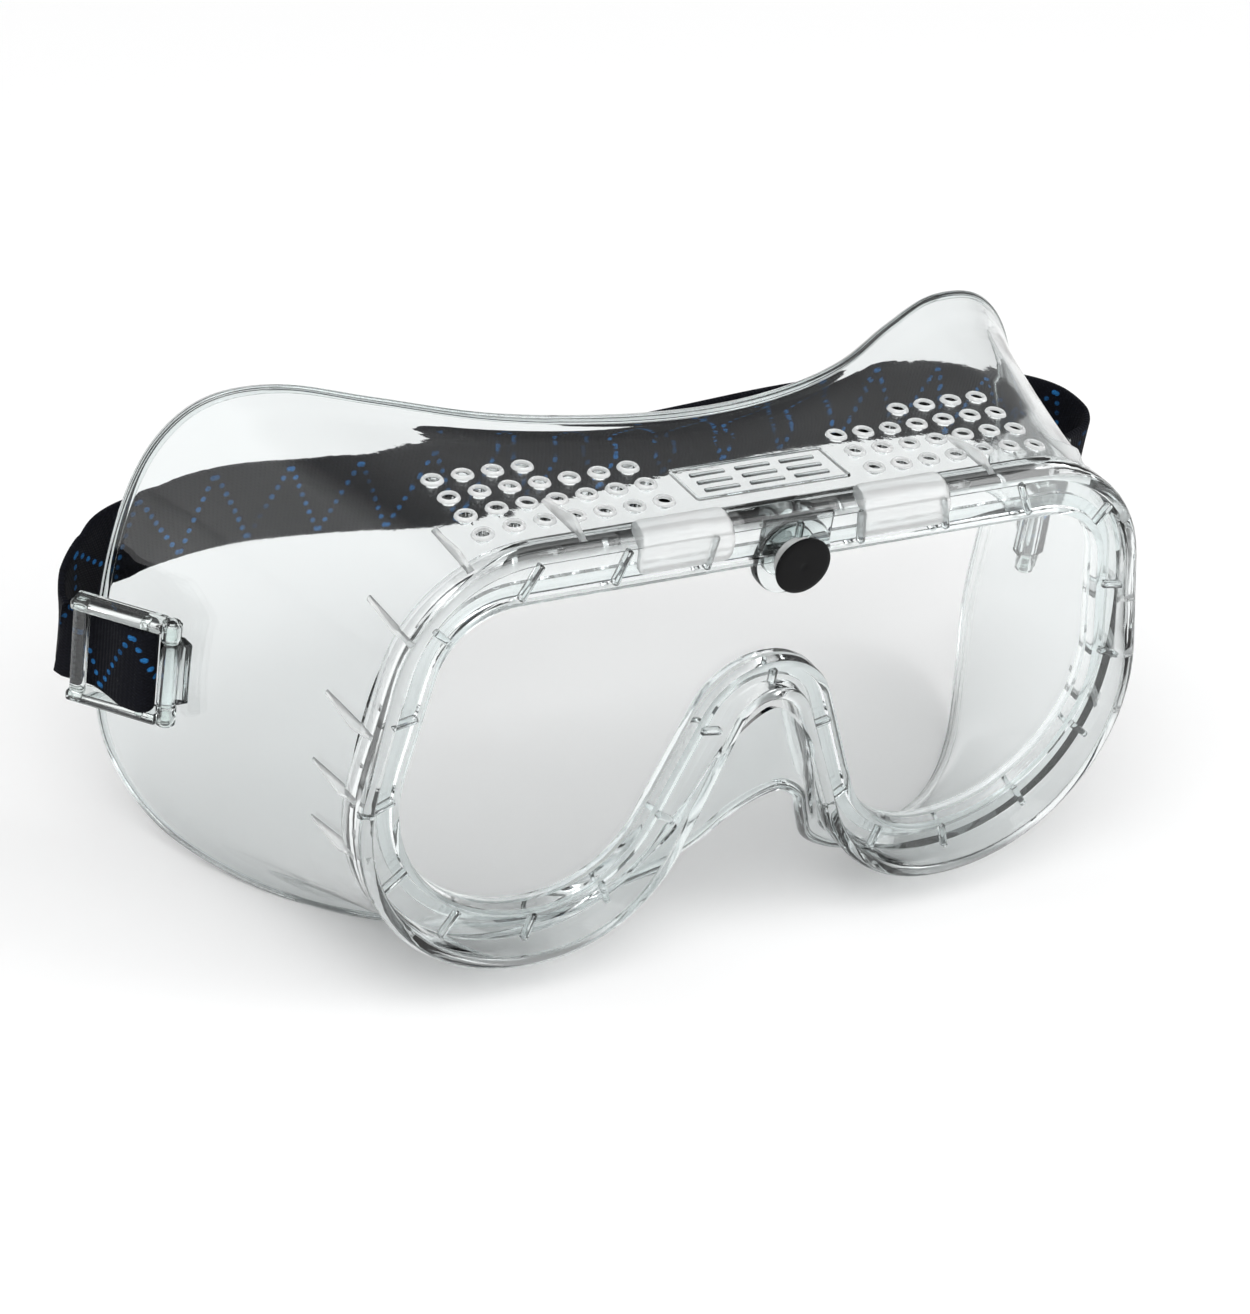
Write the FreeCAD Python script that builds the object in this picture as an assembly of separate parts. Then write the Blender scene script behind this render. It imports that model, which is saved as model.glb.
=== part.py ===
"""Direct-vent safety goggles: a soft clear moulded frame, a flat lens held in its
rim, a press stud, two hinged strap clips and an elastic headband.

Millimetres. The origin is on the lens's front face, above the nose. +Y points back to
the face, +Z up, +X to the right when seen from the front."""
import math
import os

import FreeCAD
import Part

V = FreeCAD.Vector
BACK = V(0, 1, 0)
RIGHT = V(1, 0, 0)
UP = V(0, 0, 1)

# Outlines, right half: corner x, corner z, fillet radius, from the top middle round
# the lobe to the nose
OPENING = [(0, 18.4, 0), (60.2, 18.4, 13), (71.6, -41.4, 27.2),
           (25.2, -41.4, 19.2), (9.0, -0.9, 13.2), (0, -0.9, 0)]
RIM_EDGE = [(0, 27.8, 0), (66.4, 27.8, 24), (80.7, -49.9, 33.8),
            (20.7, -49.9, 27), (3.75, -7.5, 5.4), (0, -7.5, 0)]

# Lens, in a groove in the rim
LENS_THICKNESS = 1.4
LENS_OVERLAP = 3.4
GROOVE_SLACK = 0.1

# Rim, front to back: a ridge round its outer edge whose front leans, a bead round the
# opening, and a recess between them crossed by small bridges
RIDGE_FRONT_AT_TOP_Y = -2.0
RIDGE_LEAN = 3.5
RIDGE_WIDTH = 2.4
BEAD_FRONT_Y = -2.0
BEAD_WIDTH = 1.5
RECESS_FLOOR_Y = -1.2
RIM_BACK_Y = 2.8
BRIDGE_COUNT = 26
BRIDGE_THICKNESS = 1.2
BRIDGE_FRONT_Y = -2.6
PAD_LOW_X = 12.5
PAD_HIGH_X = 28.0
PAD_LOW_Z = 20.6

# Wall of the face cup, right half: front x, y, z and back edge x, y, z, from the top
# middle round the temple and the cheek to the bridge of the nose.
WALL_RUNS = [
    ((0, 1, 27.0), (0, 31.2, 27.8)),
    ((17, 1, 27.0), (17, 34, 27.3)),
    ((33, 1, 27.0), (34, 41.5, 26.2)),
    ((46, 1, 27.0), (50, 52, 25.8)),
    ((57.5, 1, 24.2), (63, 58.5, 26.4)),
    ((65, 1, 17.6), (74.5, 61, 24.4)),
    ((69.6, 1, 8.5), (82.5, 62, 17.5)),
    ((72.0, 1, -2.0), (87.5, 62.3, 6.0)),
    ((72.9, 1, -14.0), (90.0, 62.8, -10.0)),
    ((71.6, 1, -26.0), (90.2, 63, -27.0)),
    ((66.8, 1, -36.5), (88.0, 60.5, -41.5)),
    ((58.6, 1, -44.6), (82.0, 50.8, -51.8)),
    ((48.5, 1, -48.6), (71.5, 36.5, -56.0)),
    ((38.0, 1, -49.2), (58.6, 23.8, -56.8)),
    ((28.5, 0.6, -46.8), (43.0, 14.5, -55.3)),
    ((21.5, -0.2, -41.8), (28.5, 6.5, -50.2)),
    ((16.6, -1.2, -35.6), (17.0, 2, -42.8)),
    ((12.8, -2.4, -27.5), (11.0, -3, -34.0)),
    ((8.2, -3.6, -15.8), (6.4, -6.8, -25.4)),
    ((0, -4.4, -8.4), (0, -8.8, -21.0)),
]
WALL_LEVELS = [(0.0, 0.0), (0.3, -0.5), (0.6, -1.0), (0.84, -1.2), (0.94, -0.5), (1.0, 0.0)]
WALL_THICKNESS = 1.6

# Vent holes in the top wall
VENT_RADIUS = 1.15
VENT_FIRST_X = 19.7
VENT_PITCH_X = 5.33
VENT_FIRST_Y = 7.9
VENT_PITCH_Y = 5.93
VENT_COLUMNS = 7
VENT_ROWS = 4
VENT_BACK_ROW_FIRST_COLUMN = 3

# Blank raised border on the top wall
BORDER_WIDTH = 29.0
BORDER_FRONT_Y = 6.3
BORDER_BACK_Y = 16.7
BORDER_LINE = 0.7
BORDER_TOP_Z = 27.5

# Fins that stiffen the wall behind the rim
FIN_THICKNESS = 1.5
FIN_HEIGHT = 2.3
FIN_LENGTH = 9.5
TOP_FIN_X = (38.0, 57.0)
SIDE_FIN_Z = (14.0, -2.0, -14.0, -25.0)

# Press stud through the tab at the top of the rim
STUD_Z = 19.0
TAB_RADIUS = 7.0
TAB_FRONT_Y = -1.8
HEAD_RADIUS = 5.0
HEAD_THICKNESS = 1.8
COLLAR_RADIUS = 3.9
COLLAR_THICKNESS = 1.4
SLEEVE_RADIUS = 2.9
SHANK_RADIUS = 2.0
BULB_RADIUS = 2.6
BULB_LENGTH = 1.4
RUNNING_GAP = 0.05
STUD_TRAVEL = 2.5
WASHER_RADIUS = 4.6
WASHER_THICKNESS = 1.2

# Strap clip, on an upright hinge pin in a knuckle on each side wall
PIN_X = 86.0
PIN_Y = 43.6
PIN_RADIUS = 0.8
CLIP_Z = -15.4
CLIP_HEIGHT = 19.6
CLIP_LENGTH = 15.5
CLIP_ANGLE = 43.5
RAIL_HEIGHT = 2.0
RAIL_HALF_WIDTH = 2.0
FRONT_BAR_RADIUS = 0.8
FRONT_BAR_ALONG = 4.3
REAR_BAR_RADIUS = 1.15
BARREL_RADIUS = 1.7
KNUCKLE_HEIGHT = 12.0
KNUCKLE_GAP = 0.25

# Elastic headband, left clip to right clip: plan points and middle height, lying
# looser on the right
STRAP_WIDTH = 15.4
STRAP_THICKNESS = 1.3
STRAP_RUN = [
    (-98.3, 58.9, -15.4), (-98.0, 62.2, -14.2), (-95.6, 65.9, -12.0),
    (-91.0, 68.7, -9.0), (-84.0, 70.4, -6.2), (-66.0, 71.6, -3.8),
    (-44.0, 71.6, -4.6), (-22.0, 71.0, -5.6), (0, 70.5, -5.2),
    (22.0, 71.0, -4.2), (44.0, 73.0, -4.2), (66.0, 75.0, -5.6),
    (85.0, 76.0, -8.0), (98.5, 75.0, -10.4), (106.5, 71.6, -12.2),
    (109.2, 66.0, -13.6), (107.4, 61.4, -14.6), (103.0, 59.4, -15.2),
    (99.2, 58.2, -15.4)]
TAIL_END_ALONG = 18.2
LOOP_OUT = -1.7
LAYER_PITCH = 1.5
TACK_LENGTH = 1.6
TACK_THICKNESS = 0.3


def filleted(corners, side):
    """Edges through one half's corners, each corner rounded by its radius."""
    points = [V(side * x, 0, z) for x, z, radius in corners]
    edges = []
    start = points[0]
    for before, corner, after, (x, z, radius) in zip(points, points[1:], points[2:],
                                                    corners[1:]):
        arrive = (before - corner).normalize()
        leave = (after - corner).normalize()
        half = arrive.getAngle(leave) / 2
        reach = radius / math.tan(half)
        middle = (arrive + leave).normalize() * (radius / math.sin(half) - radius)
        first = corner + arrive * reach
        last = corner + leave * reach
        if first.distanceToPoint(start) > 1e-6:
            edges.append(Part.LineSegment(start, first).toShape())
        edges.append(Part.Arc(first, corner + middle, last).toShape())
        start = last
    if start.distanceToPoint(points[-1]) > 1e-6:
        edges.append(Part.LineSegment(start, points[-1]).toShape())
    return edges


def outline(corners, grow=0.0, y=0.0):
    """Closed wire of the whole mirrored outline, grown outwards by a distance."""
    edges = filleted(corners, 1) + filleted(corners, -1)
    wire = Part.Wire(Part.__sortEdges__(edges))
    if grow:
        wire = wire.makeOffset2D(grow)
    wire.translate(V(0, y, 0))
    return wire


def prism(corners, grow, y_front, y_back):
    face = Part.Face(outline(corners, grow, y_front))
    return face.extrude(BACK * (y_back - y_front))


def ring(outer, grow_outer, inner, grow_inner, y_front, y_back):
    """Prism over the outer outline with the inner outline cut right through."""
    hole = prism(inner, grow_inner, y_front - 1, y_back + 1)
    return prism(outer, grow_outer, y_front, y_back).cut(hole)


def rod(radius, start, direction, length):
    return Part.makeCylinder(radius, length, start, direction)


def box(x_low, x_high, y_low, y_high, z_low, z_high):
    return Part.makeBox(x_high - x_low, y_high - y_low, z_high - z_low,
                        V(x_low, y_low, z_low))


def mirrored(shape):
    return shape.mirror(V(0, 0, 0), RIGHT)


def both_sides(shape):
    return [shape, mirrored(shape)]


def wall_grid(depth):
    """Rows of points round the whole cup, each level moved inwards by depth."""
    rows = []
    for level, flare in WALL_LEVELS:
        half = []
        for front, back in WALL_RUNS:
            front = V(*front)
            back = V(*back)
            half.append(front + (back - front) * level)
        row = half + [V(-p.x, p.y, p.z) for p in half[-2:0:-1]]
        rows.append([offset_outwards(row, i, flare) for i in range(len(row))])
    moved = []
    for j, row in enumerate(rows):
        line = []
        for i, point in enumerate(row):
            around = row[(i + 1) % len(row)] - row[i - 1]
            along = rows[min(j + 1, len(rows) - 1)][i] - rows[max(j - 1, 0)][i]
            normal = around.cross(along).normalize()
            line.append(point - normal * depth)
        moved.append(line)
    return moved


def offset_outwards(row, i, distance):
    around = row[(i + 1) % len(row)] - row[i - 1]
    outwards = V(around.z, 0, -around.x) * -1
    return row[i] + outwards.normalize() * distance


def ring_curve(points):
    curve = Part.BSplineCurve()
    curve.interpolate(points, PeriodicFlag=True)
    return curve.toShape()


def wall_skin(rows):
    wires = [Part.Wire([ring_curve(row)]) for row in rows]
    return Part.makeLoft(wires, False, False, False)




def cup_wall():
    """Wall of the cup: outer and inner skins closed by a front and a back edge face."""
    outer_rows = wall_grid(0.0)
    inner_rows = wall_grid(WALL_THICKNESS)
    skins = [wall_skin(outer_rows), wall_skin(inner_rows)]
    ends = [Part.makeRuledSurface(ring_curve(outer_rows[k]), ring_curve(inner_rows[k]))
            for k in (0, -1)]
    return sewn(skins + ends)


def sewn(faces):
    shell = Part.Shell([face for part in faces for face in part.Faces])
    shell.sewShape()
    solid = Part.Solid(shell)
    if solid.Volume < 0:
        solid.reverse()
    return solid


def wall_x(wall, y, z):
    """X of the wall's outer face on the right side, at one y and z."""
    line = Part.makeLine(V(50, y, z), V(120, y, z))
    return line.common(wall).BoundBox.XMax


def fins(wall):
    """Tapered fins behind the rim, on the top wall and the side walls."""
    half = FIN_THICKNESS / 2
    found = []
    for x in TOP_FIN_X:
        top = RIM_EDGE[0][1] if x < 50 else 25.2
        profile = [V(x - half, -1.0, top - 2), V(x - half, -1.0, top + 0.6),
                   V(x - half, RIM_BACK_Y, top + FIN_HEIGHT - 0.6),
                   V(x - half, RIM_BACK_Y + FIN_LENGTH, top - 1.2),
                   V(x - half, RIM_BACK_Y, top - 2)]
        face = Part.Face(Part.makePolygon(profile + profile[:1]))
        found.append(face.extrude(RIGHT * FIN_THICKNESS))
    for z in SIDE_FIN_Z:
        near = wall_x(wall, RIM_BACK_Y + 0.6, z)
        far = wall_x(wall, RIM_BACK_Y + FIN_LENGTH, z)
        profile = [V(near - 3, 0, z - half), V(near + 0.4, 0, z - half),
                   V(near + FIN_HEIGHT, RIM_BACK_Y, z - half),
                   V(far + 0.1, RIM_BACK_Y + FIN_LENGTH, z - half),
                   V(far - 0.8, RIM_BACK_Y + FIN_LENGTH, z - half),
                   V(near - 0.8, RIM_BACK_Y, z - half)]
        face = Part.Face(Part.makePolygon(profile + profile[:1]))
        found.append(face.extrude(UP * FIN_THICKNESS))
    return [fin for one in found for fin in both_sides(one)]


def bridges():
    """Small walls across the rim's recess, evenly spaced round the opening."""
    middle = outline(OPENING, 4.0, 0.0)
    points = middle.discretize(Number=4 * BRIDGE_COUNT + 1)
    depth = RECESS_FLOOR_Y - BRIDGE_FRONT_Y
    walls = []
    for k in range(0, 4 * BRIDGE_COUNT, 4):
        along = points[k + 1] - points[k - 1 if k else -2]
        turn = math.degrees(math.atan2(along.z, along.x))
        wall = box(-BRIDGE_THICKNESS / 2, BRIDGE_THICKNESS / 2, BRIDGE_FRONT_Y,
                   BRIDGE_FRONT_Y + depth, -6.5, 6.5)
        wall.rotate(V(0, 0, 0), V(0, -1, 0), turn)
        wall.translate(V(points[k].x, 0, points[k].z))
        walls.append(wall)
    band = ring(RIM_EDGE, -RIDGE_WIDTH / 2, OPENING, BEAD_WIDTH / 2,
                BRIDGE_FRONT_Y - 1, RECESS_FLOOR_Y + 1)
    return [wall.common(band) for wall in walls]


def lens_rim(wall):
    """Front of the frame: ring with the lens groove, ridge, bead, bridges and tab."""
    ridge_front = RIDGE_FRONT_AT_TOP_Y - 8
    solid = ring(RIM_EDGE, 0, OPENING, 0, RECESS_FLOOR_Y, RIM_BACK_Y)
    pieces = [ring(RIM_EDGE, 0, RIM_EDGE, -RIDGE_WIDTH, ridge_front, RECESS_FLOOR_Y),
              ring(OPENING, BEAD_WIDTH, OPENING, 0, BEAD_FRONT_Y, RECESS_FLOOR_Y),
              rod(TAB_RADIUS, V(0, TAB_FRONT_Y, STUD_Z), BACK, -TAB_FRONT_Y)]
    pad = box(PAD_LOW_X, PAD_HIGH_X, BEAD_FRONT_Y, RECESS_FLOOR_Y, PAD_LOW_Z,
              RIM_EDGE[0][1] - RIDGE_WIDTH / 2)
    pieces += both_sides(pad) + bridges() + fins(wall)
    solid = solid.multiFuse(pieces)
    edge = V(0, RIDGE_FRONT_AT_TOP_Y, RIM_EDGE[0][1])
    ahead = box(-100, 100, -40, edge.y, -70, 60)
    ahead.rotate(edge, RIGHT, -RIDGE_LEAN)
    groove = prism(OPENING, LENS_OVERLAP + GROOVE_SLACK, 0, LENS_THICKNESS)
    sleeve_hole = rod(SLEEVE_RADIUS, V(0, -10, STUD_Z), BACK, 20)
    head_room = rod(HEAD_RADIUS + 0.5, V(0, -20, STUD_Z), BACK, 20 + TAB_FRONT_Y)
    washer_room = rod(WASHER_RADIUS + 0.3, V(0, LENS_THICKNESS, STUD_Z), BACK, 10)
    cutters = [ahead, groove, sleeve_hole, head_room, washer_room]
    return solid.cut(cutters).removeSplitter()


def vents():
    """Cutters for the vent holes of both halves."""
    cutters = []
    for row in range(VENT_ROWS):
        first = VENT_BACK_ROW_FIRST_COLUMN if row == VENT_ROWS - 1 else 0
        for column in range(first, VENT_COLUMNS):
            x = VENT_FIRST_X + VENT_PITCH_X * column
            y = VENT_FIRST_Y + VENT_PITCH_Y * row
            cutters += both_sides(rod(VENT_RADIUS, V(x, y, 20), UP, 14))
    return cutters


def name_border():
    """Blank raised rectangle, standing a little proud of the top wall."""
    half = BORDER_WIDTH / 2
    whole = box(-half, half, BORDER_FRONT_Y, BORDER_BACK_Y, 26.2, BORDER_TOP_Z)
    inside = box(-half + BORDER_LINE, half - BORDER_LINE, BORDER_FRONT_Y + BORDER_LINE,
                 BORDER_BACK_Y - BORDER_LINE, 25, 30)
    return whole.cut(inside)


def lug():
    """Right lug: a pad on the side wall that carries the middle hinge knuckle."""
    low = CLIP_Z - KNUCKLE_HEIGHT / 2
    barrel = rod(BARREL_RADIUS, V(PIN_X, PIN_Y, low), UP, KNUCKLE_HEIGHT)
    web = box(PIN_X - 4.5, PIN_X, PIN_Y - BARREL_RADIUS, PIN_Y + BARREL_RADIUS,
              low, low + KNUCKLE_HEIGHT)
    hole = rod(PIN_RADIUS, V(PIN_X, PIN_Y, low - 1), UP, KNUCKLE_HEIGHT + 2)
    return barrel.fuse(web).cut(hole)


def face_cup(wall, rim):
    """Cup from the rim back to the edge that meets the face."""
    solid = wall.multiFuse(both_sides(lug()) + [name_border()])
    inside = prism(OPENING, 1.0, -20, 3.5)
    rim_block = prism(RIM_EDGE, 0, -20, RIM_BACK_Y)
    solid = solid.cut(vents())
    return solid.cut([rim, rim_block, inside])


def lens():
    solid = prism(OPENING, LENS_OVERLAP, 0, LENS_THICKNESS)
    return solid.cut(rod(SLEEVE_RADIUS, V(0, -10, STUD_Z), BACK, 20))


def stud_bush():
    """Collar and sleeve that line the stud's hole through the tab and the lens."""
    front = TAB_FRONT_Y - COLLAR_THICKNESS
    back = LENS_THICKNESS + WASHER_THICKNESS
    collar = rod(COLLAR_RADIUS, V(0, front, STUD_Z), BACK, COLLAR_THICKNESS)
    sleeve = rod(SLEEVE_RADIUS, V(0, front, STUD_Z), BACK, back - front)
    bore = rod(SHANK_RADIUS + RUNNING_GAP, V(0, front - 1, STUD_Z), BACK, 20)
    return collar.fuse(sleeve).cut(bore)


def stud_washer():
    disc = rod(WASHER_RADIUS, V(0, LENS_THICKNESS, STUD_Z), BACK, WASHER_THICKNESS)
    return disc.cut(rod(SLEEVE_RADIUS, V(0, 0, STUD_Z), BACK, 10))


def lens_stud():
    """Head, shank and the bulb that stops the shank pulling right through."""
    head_back = TAB_FRONT_Y - COLLAR_THICKNESS - RUNNING_GAP
    bulb_front = LENS_THICKNESS + WASHER_THICKNESS + STUD_TRAVEL + RUNNING_GAP
    head = rod(HEAD_RADIUS, V(0, head_back - HEAD_THICKNESS, STUD_Z), BACK,
               HEAD_THICKNESS)
    front_edge = [edge for edge in head.Edges
                  if edge.BoundBox.YMax < head_back - HEAD_THICKNESS + 0.01]
    head = head.makeFillet(0.5, front_edge)
    shank = rod(SHANK_RADIUS, V(0, head_back - 0.5, STUD_Z), BACK,
                bulb_front - head_back + 1)
    bulb = Part.makeCone(BULB_RADIUS, SHANK_RADIUS * 0.6, BULB_LENGTH,
                         V(0, bulb_front, STUD_Z), BACK)
    return head.multiFuse([shank, bulb])


def at_clip(along, out, z=0.0):
    """Point in the right clip's own directions, measured from its hinge pin."""
    turn = math.radians(CLIP_ANGLE)
    x = PIN_X + along * math.sin(turn) + out * math.cos(turn)
    y = PIN_Y + along * math.cos(turn) - out * math.sin(turn)
    return V(x, y, z)


def clip_block(along_low, along_high, out_low, out_high, z_low, height):
    corners = [at_clip(along_low, out_low, z_low), at_clip(along_high, out_low, z_low),
               at_clip(along_high, out_high, z_low), at_clip(along_low, out_high, z_low)]
    return Part.Face(Part.makePolygon(corners + corners[:1])).extrude(UP * height)


def strap_clip():
    """Right clip: two rails with hinge knuckles, joined by a front and a back bar."""
    low = CLIP_Z - CLIP_HEIGHT / 2
    high = CLIP_Z + CLIP_HEIGHT / 2
    knuckle = (CLIP_HEIGHT - KNUCKLE_HEIGHT) / 2 - KNUCKLE_GAP
    pieces = []
    for z, rail_z in ((low, low), (high - knuckle, high - RAIL_HEIGHT)):
        pieces.append(rod(BARREL_RADIUS, V(PIN_X, PIN_Y, z), UP, knuckle))
        pieces.append(clip_block(0.4, CLIP_LENGTH, -RAIL_HALF_WIDTH,
                                 RAIL_HALF_WIDTH, rail_z, RAIL_HEIGHT))
        pieces.append(rod(RAIL_HALF_WIDTH, at_clip(CLIP_LENGTH, 0, rail_z), UP,
                          RAIL_HEIGHT))
    for radius, along, out in ((FRONT_BAR_RADIUS, FRONT_BAR_ALONG, 0.4),
                               (REAR_BAR_RADIUS, CLIP_LENGTH, 0.6)):
        pieces.append(rod(radius, at_clip(along, out, low + 0.5), UP,
                          CLIP_HEIGHT - 1))
    hole = rod(PIN_RADIUS + RUNNING_GAP, V(PIN_X, PIN_Y, low - 1), UP, CLIP_HEIGHT + 2)
    return pieces[0].multiFuse(pieces[1:]).cut(hole)


def hinge_pin():
    low = CLIP_Z - CLIP_HEIGHT / 2
    return rod(PIN_RADIUS, V(PIN_X, PIN_Y, low), UP, CLIP_HEIGHT)


def ribbon(points, width, thickness):
    """Flat strap on edge along plan points that carry the strap's middle height."""
    curves = {}
    for side in (-1, 1):
        for end in (-1, 1):
            line = []
            for i, point in enumerate(points):
                ahead = points[min(i + 1, len(points) - 1)] - points[max(i - 1, 0)]
                across = V(-ahead.y, ahead.x, 0).normalize() * side * thickness / 2
                line.append(point + across + UP * end * width / 2)
            curve = Part.BSplineCurve()
            curve.interpolate(line)
            curves[side, end] = curve.toShape()
    order = [(-1, -1), (1, -1), (1, 1), (-1, 1)]
    faces = [Part.makeRuledSurface(curves[order[k]], curves[order[(k + 1) % 4]])
             for k in range(4)]
    for index in (0, -1):
        corners = [curves[key].valueAt(curves[key].LastParameter if index else
                                       curves[key].FirstParameter) for key in order]
        faces.append(Part.Face(Part.makePolygon(corners + corners[:1])))
    return sewn(faces)


def headband():
    """Long run of elastic from one clip round the back to the other."""
    return ribbon([V(*point) for point in STRAP_RUN], STRAP_WIDTH, STRAP_THICKNESS)


def loop_path():
    """Plan of the elastic through the right clip: out over the front bar and back."""
    reach = FRONT_BAR_RADIUS + STRAP_THICKNESS / 2 + 0.15
    bar_out = 0.4
    inner_out = LOOP_OUT - LAYER_PITCH
    over = at_clip(FRONT_BAR_ALONG, bar_out + reach)
    tip = at_clip(FRONT_BAR_ALONG - reach, bar_out)
    under = at_clip(FRONT_BAR_ALONG, bar_out - reach)
    upper = [at_clip(TAIL_END_ALONG, LOOP_OUT), at_clip(CLIP_LENGTH - 1.5, LOOP_OUT),
             at_clip(FRONT_BAR_ALONG + 3.0, bar_out + reach), over]
    lower = [under, at_clip(CLIP_LENGTH - 4.0, inner_out),
             at_clip(TAIL_END_ALONG, inner_out)]
    edges = [Part.LineSegment(p, q).toShape() for p, q in zip(upper, upper[1:])]
    edges.append(Part.Arc(over, tip, under).toShape())
    edges += [Part.LineSegment(p, q).toShape() for p, q in zip(lower, lower[1:])]
    return Part.Wire(edges)


def strap_loop():
    """Right end of the elastic, folded round the clip's front bar."""
    outline_wire = loop_path().makeOffset2D(STRAP_THICKNESS / 2)
    solid = Part.Face(outline_wire).extrude(UP * STRAP_WIDTH)
    solid.translate(V(0, 0, CLIP_Z - STRAP_WIDTH / 2))
    return solid


def bar_tack():
    """Right stitched bar that sews the folded end down."""
    out = LOOP_OUT + STRAP_THICKNESS / 2
    high = STRAP_WIDTH - 2.0
    return clip_block(TAIL_END_ALONG - TACK_LENGTH - 0.4, TAIL_END_ALONG - 0.4,
                      out, out + TACK_THICKNESS, CLIP_Z - high / 2, high)


if __name__ == "__main__":
    os.makedirs("parts", exist_ok=True)
    wall = cup_wall()
    rim = lens_rim(wall)
    parts = {
        "lens_rim": rim,
        "face_cup": face_cup(wall, rim),
        "lens": lens(),
        "stud_bush": stud_bush(),
        "stud_washer": stud_washer(),
        "lens_stud": lens_stud(),
        "headband": headband(),
    }
    for name, make in (("hinge_pin", hinge_pin), ("strap_clip", strap_clip),
                       ("strap_loop", strap_loop), ("bar_tack", bar_tack)):
        right = make()
        parts[name + "_right"] = right
        parts[name + "_left"] = mirrored(right)
    for name, shape in parts.items():
        print(name, shape.isValid(), len(shape.Solids), round(shape.Volume, 1))
        shape.exportStep("parts/" + name + ".step")
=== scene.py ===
"""Direct-vent safety goggles: looks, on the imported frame. Metres; sizes below are in
millimetres and scaled on the way into each mesh."""

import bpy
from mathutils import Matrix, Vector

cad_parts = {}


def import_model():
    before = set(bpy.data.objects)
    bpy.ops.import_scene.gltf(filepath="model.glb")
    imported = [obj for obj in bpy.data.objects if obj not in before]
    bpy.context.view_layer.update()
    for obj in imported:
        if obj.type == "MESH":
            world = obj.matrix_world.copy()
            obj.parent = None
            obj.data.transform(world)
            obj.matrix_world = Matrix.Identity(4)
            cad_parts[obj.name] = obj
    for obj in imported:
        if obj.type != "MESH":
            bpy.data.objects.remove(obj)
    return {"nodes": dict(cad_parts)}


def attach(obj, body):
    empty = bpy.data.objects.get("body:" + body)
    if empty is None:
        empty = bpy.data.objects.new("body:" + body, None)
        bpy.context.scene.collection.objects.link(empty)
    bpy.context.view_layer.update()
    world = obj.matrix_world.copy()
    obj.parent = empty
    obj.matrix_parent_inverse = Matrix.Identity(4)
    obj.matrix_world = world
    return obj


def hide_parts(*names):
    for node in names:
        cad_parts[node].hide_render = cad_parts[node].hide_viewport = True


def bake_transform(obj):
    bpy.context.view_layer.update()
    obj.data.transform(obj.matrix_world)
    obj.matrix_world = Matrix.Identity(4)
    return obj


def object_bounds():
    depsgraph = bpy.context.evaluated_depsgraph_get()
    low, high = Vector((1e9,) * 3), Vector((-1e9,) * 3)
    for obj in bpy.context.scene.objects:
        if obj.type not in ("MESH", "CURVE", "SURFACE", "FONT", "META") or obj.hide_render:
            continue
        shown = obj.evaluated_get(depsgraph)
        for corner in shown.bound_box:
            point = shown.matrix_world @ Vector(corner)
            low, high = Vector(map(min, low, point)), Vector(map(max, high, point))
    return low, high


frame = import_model()
CAD_BOX = [list(corner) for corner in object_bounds()]

import math

import bmesh
import bpy
import numpy as np
from mathutils import Matrix, Vector

MM = 0.001
X, Y, Z = np.eye(3)
MERGE_DISTANCE = 0.0005
SHARP_ANGLE = math.radians(38)

# Outlines, right half: corner x, corner z, fillet radius, from the top middle round
# the lobe to the nose
OPENING = [(0, 18.4, 0), (60.2, 18.4, 13), (71.6, -41.4, 27.2),
           (25.2, -41.4, 19.2), (9.0, -0.9, 13.2), (0, -0.9, 0)]
RIM_EDGE = [(0, 27.8, 0), (66.4, 27.8, 24), (80.7, -49.9, 33.8),
            (20.7, -49.9, 27), (3.75, -7.5, 5.4), (0, -7.5, 0)]
LINE_STEPS = (12, 12, 1, 8, 1)
ARC_STEPS = (12, 20, 16, 12)

# Cup wall, right half: front point and back-edge point, top middle to bridge of nose
WALL_RUNS = [
    ((0, 1, 27.0), (0, 31.2, 27.8)), ((17, 1, 27.0), (17, 34, 27.3)),
    ((33, 1, 27.0), (34, 41.5, 26.2)), ((46, 1, 27.0), (50, 52, 25.8)),
    ((57.5, 1, 24.2), (63, 58.5, 26.4)), ((65, 1, 17.6), (74.5, 61, 24.4)),
    ((69.6, 1, 8.5), (82.5, 62, 17.5)), ((72.0, 1, -2.0), (87.5, 62.3, 6.0)),
    ((72.9, 1, -14.0), (90.0, 62.8, -10.0)), ((71.6, 1, -26.0), (90.2, 63, -27.0)),
    ((66.8, 1, -36.5), (88.0, 60.5, -41.5)), ((58.6, 1, -44.6), (82.0, 50.8, -51.8)),
    ((48.5, 1, -48.6), (71.5, 36.5, -56.0)), ((38.0, 1, -49.2), (58.6, 23.8, -56.8)),
    ((28.5, 0.6, -46.8), (43.0, 14.5, -55.3)), ((21.5, -0.2, -41.8), (28.5, 6.5, -50.2)),
    ((16.6, -1.2, -35.6), (17.0, 2, -42.8)), ((12.8, -2.4, -27.5), (11.0, -3, -34.0)),
    ((8.2, -3.6, -15.8), (6.4, -6.8, -25.4)), ((0, -4.4, -8.4), (0, -8.8, -21.0))]
WALL_LEVELS = [(0.0, 0.0), (0.3, -0.5), (0.6, -1.0), (0.84, -1.2), (0.94, -0.5), (1.0, 0.0)]
WALL_START_Y = 1      # front points at this y start just behind the rim
WALL_STEPS_AROUND = 8
WALL_STEPS_BACK = 5
WALL_THICKNESS = 1.6
EDGE_BEAD_RADIUS = 1.05
EDGE_BEAD_SIDES = 10
TOP_RUN_LOW_Z = 15    # the top wall and the rim's top edge lie above this height

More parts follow.
